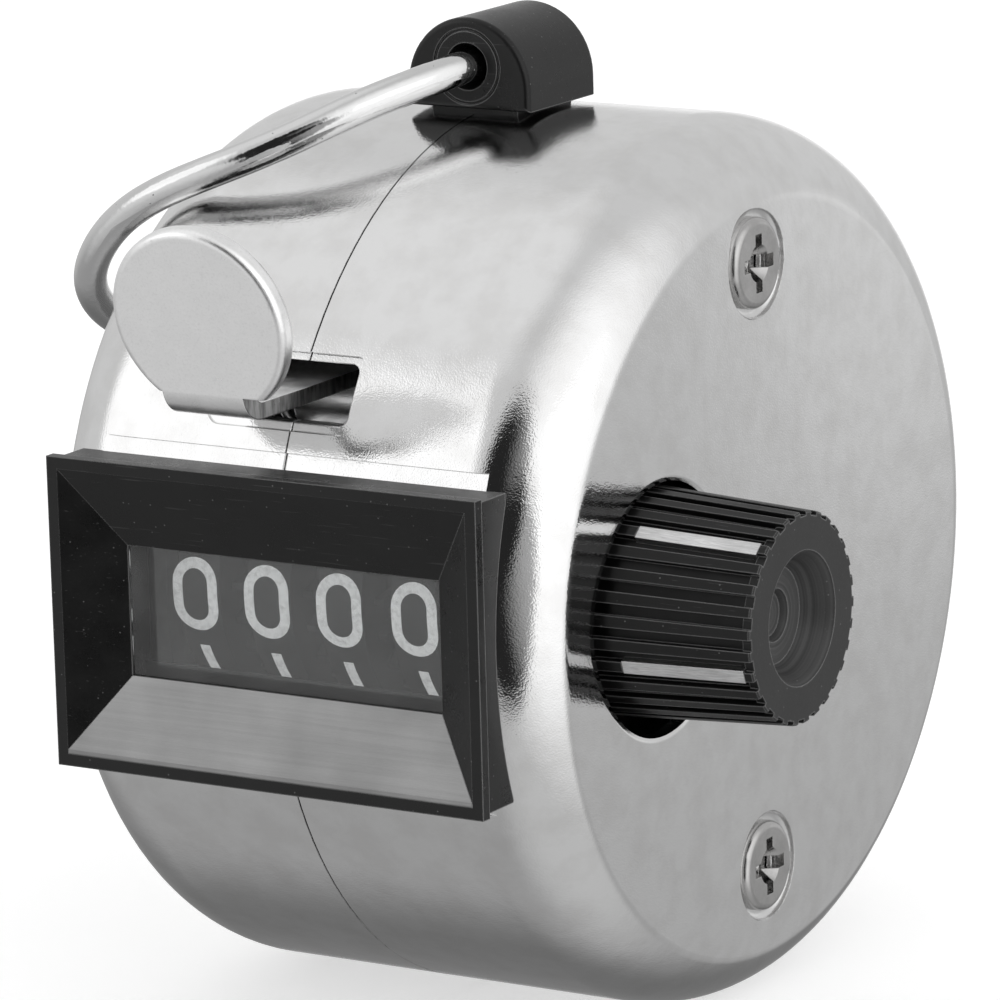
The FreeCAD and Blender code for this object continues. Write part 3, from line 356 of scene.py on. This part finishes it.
def plain_metal(name, colour, rough_low, rough_high, lines=(1, 1, 1)):
    """Inner metal parts: turned or stamped, with tool lines and slight staining."""
    shader = Shader(name)
    tool = shader.noise(shader.stretched(*lines), 4.0, 4.0)
    stain = shader.noise(shader.mm, 0.7, 3.0)
    dark = tuple(channel * 0.7 for channel in colour[:3]) + (1.0,)
    normal = shader.bump(tool, 0.005, shader.eased_edges(0.06))
    rough = shader.ramp(tool, 0.3, 0.7, rough_low, rough_high)
    tone = shader.blend(shader.ramp(stain, 0.35, 0.7, 0.0, 0.6), colour, dark)
    shader.set(Base_Color=tone, Metallic=1.0, Roughness=rough, Normal=normal)
    return shader.material


def clear_lens():
    """Clear moulded window with a little haze and a reflecting front."""
    shader = Shader("window_clear")
    haze = shader.noise(shader.mm, 0.35, 3.0)
    fine = shader.noise(shader.mm, 5.0, 3.0)
    normal = shader.bump(fine, 0.0006)
    clear = shader.add("ShaderNodeBsdfTransparent", {"Color": (0.93, 0.94, 0.94, 1.0)})
    milk = shader.add("ShaderNodeBsdfDiffuse", {"Color": grey(0.75)})
    gloss = shader.add("ShaderNodeBsdfGlossy", {"Color": grey(0.95), "Normal": normal})
    shader.join(gloss.inputs["Roughness"], shader.ramp(haze, 0.3, 0.7, 0.05, 0.16))
    body = shader.add("ShaderNodeMixShader", {
        0: shader.ramp(haze, 0.3, 0.75, 0.042, 0.085), 1: clear.outputs[0], 2: milk.outputs[0]})
    edge = shader.add("ShaderNodeFresnel", {"IOR": 1.42, "Normal": normal})
    mixed = shader.add("ShaderNodeMixShader", {
        0: edge.outputs[0], 1: body.outputs[0], 2: gloss.outputs[0]})
    shader.join(shader.output.inputs["Surface"], mixed.outputs[0])
    return shader.material


def digit_paint():
    """White print, thin in places; it glows a little, as the wheels stand in the case's shade."""
    shader = Shader("digit_paint")
    thin = shader.noise(shader.mm, 3.5, 4.0)
    tone = shader.blend(shader.ramp(thin, 0.45, 0.75), grey(0.80), grey(0.55))
    shader.set(Base_Color=tone, Roughness=shader.ramp(thin, 0.3, 0.7, 0.45, 0.6),
               Normal=shader.bump(thin, 0.003))
    shader.set(Emission_Color=tone, Emission_Strength=0.56)
    return shader.material


def dress_nodes():
    """Give every CAD node the finish of its material slot."""
    finishes = {
        "chrome_case": chrome_case(),
        "plated_screw": plain_metal("screw_nickel", grey(0.52, 0.01), 0.16, 0.27),
        "turned_steel": plain_metal("turned_steel_rod", grey(0.56), 0.22, 0.38, (5, 1, 1)),
        "inner_steel": plain_metal("stamped_steel", grey(0.50), 0.3, 0.45),
        "satin_steel": satin_steel(),
        "black_plastic": black_moulding(
            "black_gloss_moulding", 0.006, 0.24, 0.34, 0.32, 0.35, edge=0.7),
        "knob_plastic": black_moulding(
            "knob_moulding", 0.006, 0.33, 0.45, 0.3, 0.4, edge=0.6, fluted=True),
        "wheel_plastic": black_moulding("wheel_moulding", 0.050, 0.5, 0.6, 0.5, 0.3),
        "bright_foil": brushed_foil(),
        "clear_lens": clear_lens(),
        "brass": plain_metal("machined_brass", (0.72, 0.56, 0.27, 1.0), 0.2, 0.34, (6, 1, 1)),
        "spring_wire": plain_metal("spring_steel", grey(0.45), 0.25, 0.35)}
    special = {"finger_ring": chrome_wire()}
    for part in frame["record"]["subparts"]:
        mesh = NODES[part["node"]].data
        finish = special.get(part["node"], finishes[part["material_slot"]])
        mesh.materials.clear()
        mesh.materials.append(finish)


# ---------------------------------------------------------------- digits

RIM_RADIUS = 6.9 * MM        # vertices farther out than this belong to the printed band

# Sizes of the print, in millimetres
DIGIT_HALF_WIDTH = 1.02      # to the middle of the stroke
DIGIT_HALF_HEIGHT = 1.62
STROKE = 0.55
STROKE_END = 0.3             # of the stroke's width by which an open stroke runs on
PRINT_HEIGHT = 0.03
PRINT_DEPTH = 0.02           # of the print's back below the wheel's surface
TOP_OF_ONE = 0.2             # of the digit one below the other digits' tops
PRINT_SHIFT = {"thousands": -0.22, "hundreds": -0.17, "tens": -0.11, "units": 0.06}

ZERO_LIFT = -3.2             # degrees above the front at which a zero rests
DIGIT_STEP = 36              # degrees from one digit to the next


def arc(x, y, radius, start, end, steps=14):
    """Points on an arc; angles in degrees, counter-clockwise from +X."""
    points = []
    for step in range(steps + 1):
        angle = math.radians(start + (end - start) * step / steps)
        points.append((x + radius * math.cos(angle), y + radius * math.sin(angle)))
    return points


def digit_strokes():
    """Centre lines of the ten digits, as (points, closed) strokes."""
    w = DIGIT_HALF_WIDTH
    h = DIGIT_HALF_HEIGHT
    small = 0.80
    large = h - small
    loop_low = arc(0, -h + w, w, 0, 360, 28)[:-1]
    zero = arc(0, h - w, w, 0, 180) + arc(0, -h + w, w, 180, 360)
    return [
        [(zero, True)],
        [([(0, h - TOP_OF_ONE), (0, -h)], False)],
        [(arc(0, h - w, w, 175, -35) + [(-w, -h), (w, -h)], False)],
        [(arc(0, h - small, small, 160, -80), False),
         (arc(0, -h + large, large, 80, -160), False)],
        [([(0.45, -h), (0.45, h), (-w, -0.55), (w, -0.55)], False)],
        [([(0.85, h), (-0.75, h), (-0.85, 0.15)] + arc(0, -h + w, w, 125, -155), False)],
        [(loop_low, True), ([(-w, -h + w), (-0.8, 0.5), (0.45, h)], False)],
        [([(-w, h), (w, h), (-0.25, -h)], False)],
        [(arc(0, h - small, small, 0, 360, 24)[:-1], True),
         (arc(0, -h + large, large, 0, 360, 26)[:-1], True)],
        [([(-x, -y) for x, y in loop_low], True),
         ([(w, h - w), (0.8, -0.5), (-0.45, -h)], False)]]


def ribbon(points, closed):
    """Left and right edge points of a stroke, mitred at its corners."""
    count = len(points)
    sides = []
    for index, here in enumerate(points):
        before = points[index - 1] if closed or index else None
        after = points[(index + 1) % count] if closed or index < count - 1 else None
        steps = [Vector(b) - Vector(a) for a, b in ((before, here), (here, after)) if a and b]
        steps = [step.normalized() for step in steps]
        along = sum(steps, Vector((0, 0))).normalized()
        across = Vector((-along.y, along.x))
        lean = max(0.5, abs(along.dot(steps[0])))
        reach = STROKE / 2 / lean
        centre = Vector(here)
        if not closed and index == 0:
            centre -= along * STROKE * STROKE_END
        if not closed and index == count - 1:
            centre += along * STROKE * STROKE_END
        sides.append((centre + across * reach, centre - across * reach))
    return sides


def refine(points, closed, longest=0.25):
    """Split long straight runs, so that they follow the wheel's curve."""
    ends = points[1:] + (points[:1] if closed else [])
    finer = []
    for start, end in zip(points, ends):
        pieces = max(1, math.ceil((Vector(end) - Vector(start)).length / longest))
        for piece in range(pieces):
            share = piece / pieces
            finer.append((start[0] + (end[0] - start[0]) * share,
                          start[1] + (end[1] - start[1]) * share))
    if not closed:
        finer.append(points[-1])
    return finer


def wheel_digits(name, paint):
    """Raised print of 0 to 9 round one number wheel."""
    low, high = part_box(name + "_wheel")
    band = wheel_band_middle(name) + PRINT_SHIFT[name] * MM
    radius = (high.z - low.z) / 2 / MM
    verts = []
    faces = []
    for digit, strokes in enumerate(digit_strokes()):
        middle = math.radians(ZERO_LIFT - DIGIT_STEP * digit)
        for points, closed in strokes:
            points = refine(points, closed)
            faces += stroke_faces(len(verts), len(points), closed)
            for side in ribbon(points, closed):
                verts += rolled_on(side, band, radius, middle)
    piece = new_piece(name + "_digits", verts, faces, paint)
    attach(piece, name)


def rolled_on(side, band, radius, middle):
    """Front and back points of one cut through a stroke, rolled on to the wheel."""
    rolled = []
    for height in (PRINT_HEIGHT, -PRINT_DEPTH):
        for u, v in side:
            turn = middle + v / radius
            reach = (radius + height) * MM
            rolled.append((band + u * MM, WHEEL_AXIS.y - reach * math.cos(turn),
                           WHEEL_AXIS.z + reach * math.sin(turn)))
    return rolled


def stroke_faces(first, count, closed):
    """Faces of a stroke with four points per cut, with end faces where it is open."""
    faces = []
    for index in range(count if closed else count - 1):
        a = first + 4 * index
        b = first + 4 * ((index + 1) % count)
        for p, q in ((0, 1), (1, 3), (3, 2), (2, 0)):
            faces.append((a + p, a + q, b + q, b + p))
    if not closed:
        last = first + 4 * (count - 1)
        faces.append((first, first + 2, first + 3, first + 1))
        faces.append((last, last + 1, last + 3, last + 2))
    return faces


def wheel_band_middle(name):
    """Middle of a wheel's printed band: the middle of its widest-radius vertices."""
    rim = [v.co.x for v in NODES[name + "_wheel"].data.vertices
           if (v.co.yz - WHEEL_AXIS.yz).length > RIM_RADIUS]
    return (min(rim) + max(rim)) / 2


def new_piece(name, verts, faces, finish):
    mesh = bpy.data.meshes.new(name)
    mesh.from_pydata([tuple(v) for v in verts], [], faces)
    mesh.materials.append(finish)
    piece = bpy.data.objects.new(name, mesh)
    bpy.context.scene.collection.objects.link(piece)
    fix_normals(mesh)
    return piece


def fix_normals(mesh):
    shape = bmesh.new()
    shape.from_mesh(mesh)
    bmesh.ops.recalc_face_normals(shape, faces=shape.faces)
    shape.to_mesh(mesh)
    shape.free()


# ---------------------------------------------------------------- stage, light and camera

CAMERA_AZIMUTH = 31.58
CAMERA_ELEVATION = 12.90
CAMERA_ROLL = -1.515
CAMERA_DISTANCE = 350.04 * MM
CAMERA_LENS = 246.5
CAMERA_SHIFT = (-0.0136, 0.0382)


def direction(azimuth, elevation):
    """Unit vector towards a place seen from the object; azimuth 0 is the front, 90 the right."""
    a = math.radians(azimuth)
    e = math.radians(elevation)
    return Vector((math.sin(a) * math.cos(e), -math.cos(a) * math.cos(e), math.sin(e)))


def camera():
    data = bpy.data.cameras.new("view")
    data.lens = CAMERA_LENS
    data.sensor_width = 36.0
    data.shift_x, data.shift_y = CAMERA_SHIFT
    data.clip_start = 0.01
    data.clip_end = 20.0
    eye = bpy.data.objects.new("view", data)
    back = direction(CAMERA_AZIMUTH, CAMERA_ELEVATION)
    azimuth = math.radians(CAMERA_AZIMUTH)
    right = Vector((math.cos(azimuth), math.sin(azimuth), 0.0))
    up = back.cross(right)
    roll = math.radians(CAMERA_ROLL)
    across = right * math.cos(roll) + up * math.sin(roll)
    upright = up * math.cos(roll) - right * math.sin(roll)
    turn = Matrix((across, upright, back)).transposed().to_4x4()
    eye.matrix_world = Matrix.Translation(back * CAMERA_DISTANCE) @ turn
    bpy.context.scene.collection.objects.link(eye)
    bpy.context.scene.camera = eye


def smooth_patch(tree, view, azimuth, elevation, inner, outer, gain):
    """Extra brightness in a round patch of the room, full inside inner degrees, none past outer."""
    dot = tree.nodes.new("ShaderNodeVectorMath")
    dot.operation = "DOT_PRODUCT"
    tree.links.new(view, dot.inputs[0])
    dot.inputs[1].default_value = direction(azimuth, elevation)
    fade = tree.nodes.new("ShaderNodeMapRange")
    fade.interpolation_type = "SMOOTHSTEP"
    fade.inputs["From Min"].default_value = math.cos(math.radians(outer))
    fade.inputs["From Max"].default_value = math.cos(math.radians(inner))
    fade.inputs["To Max"].default_value = gain
    tree.links.new(dot.outputs["Value"], fade.inputs["Value"])
    return fade.outputs["Result"]


# Brightness of the room by height, from straight below (0) to straight above (1).
ROOM_HEIGHTS = ((0.00, 0.37), (0.15, 0.38), (0.30, 0.42), (0.42, 0.56), (0.49, 0.62),
                (0.56, 0.68), (0.75, 0.70), (1.00, 0.68))
# Azimuth, elevation, inner and outer radius in degrees, and brightness added.
ROOM_PATCHES = (
    (68, 18, 20, 66, 0.54),       # large soft box, right of the camera
    (65, -40, 20, 60, 0.20),      # its light on the table
    (-50, 24, 13, 24, 0.60),      # small soft box, left of the camera
    (-80, 60, 12, 34, 0.18),      # white ceiling card
    (-150, -42, 16, 46, -0.20),   # dim corner of the table
    (-152, -9, 6, 16, 0.40),      # strip light behind
    (-34, -14, 14, 40, 0.22),     # white table in front
    (8, 24, 20, 26, -0.80),       # dark camera stand, upper part
    (25, 0, 22, 28, -0.80),       # and its lower part
    (157, -3, 4, 13, 0.16))       # edge of a card behind
DARKEST = 0.02               # the dimmest that any part of the room gets
FLOOR_HALF = 1.2             # half the floor's width, in metres


def studio_world():
    """White backdrop for the camera; a softly lit room for light and reflections."""
    world = bpy.data.worlds.new("studio")
    bpy.context.scene.world = world
    world.use_nodes = True
    tree = world.node_tree
    tree.nodes.clear()
    view = tree.nodes.new("ShaderNodeTexCoord").outputs["Generated"]
    split = tree.nodes.new("ShaderNodeSeparateXYZ")
    tree.links.new(view, split.inputs[0])
    scaled = tree.nodes.new("ShaderNodeMapRange")
    scaled.inputs["From Min"].default_value = -1.0
    tree.links.new(split.outputs["Z"], scaled.inputs["Value"])
    heights = tree.nodes.new("ShaderNodeValToRGB")
    tree.links.new(scaled.outputs["Result"], heights.inputs["Fac"])
    stops = heights.color_ramp
    for index, (position, level) in enumerate(ROOM_HEIGHTS):
        stop = stops.elements[index] if index < 2 else stops.elements.new(position)
        stop.position = position
        stop.color = grey(level)
    total = heights.outputs["Color"]
    for patch in ROOM_PATCHES:
        add = tree.nodes.new("ShaderNodeMath")
        tree.links.new(total, add.inputs[0])
        tree.links.new(smooth_patch(tree, view, *patch), add.inputs[1])
        total = add.outputs[0]
    floor_level = tree.nodes.new("ShaderNodeMath")
    floor_level.operation = "MAXIMUM"
    floor_level.inputs[1].default_value = DARKEST
    tree.links.new(total, floor_level.inputs[0])
    reflected = tree.nodes.new("ShaderNodeBackground")
    tree.links.new(floor_level.outputs[0], reflected.inputs["Color"])
    seen = tree.nodes.new("ShaderNodeBackground")
    seen.inputs["Color"].default_value = grey(1.0)
    rays = tree.nodes.new("ShaderNodeLightPath")
    mix = tree.nodes.new("ShaderNodeMixShader")
    tree.links.new(rays.outputs["Is Camera Ray"], mix.inputs[0])
    tree.links.new(reflected.outputs[0], mix.inputs[1])
    tree.links.new(seen.outputs[0], mix.inputs[2])
    output = tree.nodes.new("ShaderNodeOutputWorld")
    tree.links.new(mix.outputs[0], output.inputs["Surface"])


def pale_floor():
    """Pale paper for the camera; the room's own lower half lights the object through it."""
    shader = Shader("pale_floor_paper")
    fibre = shader.noise(shader.mm, 0.8, 4.0)
    tone = shader.blend(fibre, grey(0.86), grey(0.90))
    shader.set(Base_Color=tone, Roughness=0.7, Normal=shader.bump(fibre, 0.004))
    shader.set(Specular_IOR_Level=0.1)
    shader.set(Emission_Color=grey(1.0), Emission_Strength=0.42)
    rays = shader.add("ShaderNodeLightPath").outputs["Is Camera Ray"]
    clear = shader.add("ShaderNodeBsdfTransparent").outputs[0]
    mixed = shader.add("ShaderNodeMixShader", {0: rays, 1: clear})
    shader.join(mixed.inputs[2], shader.surface.outputs[0])
    shader.join(shader.output.inputs["Surface"], mixed.outputs[0])
    corners = [(x * FLOOR_HALF, y * FLOOR_HALF, FLOOR)
               for x, y in ((-1, -1), (1, -1), (1, 1), (-1, 1))]
    floor = new_piece("floor", corners, [(0, 1, 2, 3)], shader.material)


# The dark strip's place against the lens, and its thickness
MASK_BEHIND = 0.15 * MM
MASK_INSET = 0.5 * MM
MASK_BOTTOM = 0.4 * MM
MASK_TOP = 1.34 * MM
MASK_THICKNESS = 0.2 * MM


def frame_and_shade_strip():
    """Dark strip under the lens over the wheels below the row of digits: partly the window's lower inner frame,
    partly painted shade.
    """
    low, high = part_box("window_lens")
    front = high.y + MASK_BEHIND
    left = low.x + MASK_INSET
    right = high.x - MASK_INSET
    bottom = low.z + MASK_BOTTOM
    top = low.z + MASK_TOP
    verts = []
    for y in (front, front + MASK_THICKNESS):
        verts += [(left, y, bottom), (right, y, bottom), (right, y, top), (left, y, top)]
    faces = [(0, 1, 2, 3), (7, 6, 5, 4), (0, 4, 5, 1), (1, 5, 6, 2), (2, 6, 7, 3), (3, 7, 4, 0)]
    # Painted shade: the strip's near-black finish stands for the shade inside the window as well as its lower
    # frame.
    shader = Shader("frame_and_shade_strip_card")
    fibre = shader.noise(shader.mm, 4.0, 4.0)
    shader.set(Base_Color=shader.blend(fibre, grey(0.045), grey(0.08)),
               Roughness=shader.ramp(fibre, 0.3, 0.7, 0.5, 0.7), Normal=shader.bump(fibre, 0.01))
    piece = new_piece("frame_and_shade_strip", verts, faces, shader.material)
    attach(piece, "case_and_frame")


def soft_box(name, azimuth, elevation, distance, width, height, power):
    """Weak rectangular light that shapes the shadows."""
    data = bpy.data.lights.new(name, "AREA")
    data.shape = "RECTANGLE"
    data.size = width
    data.size_y = height
    data.energy = power
    lamp = bpy.data.objects.new(name, data)
    towards = direction(azimuth, elevation)
    lamp.location = towards * distance
    lamp.rotation_euler = towards.to_track_quat("Z", "Y").to_euler()
    bpy.context.scene.collection.objects.link(lamp)


def light_stage():
    studio_world()
    pale_floor()
    soft_box("key_right", 68, 24, 0.70, 0.45, 0.35, 0.10)


dress_nodes()
paint = digit_paint()
for wheel in WHEEL_NAMES:
    wheel_digits(wheel, paint)
frame_and_shade_strip()
light_stage()
camera()
bpy.context.scene.view_settings.view_transform = "Standard"
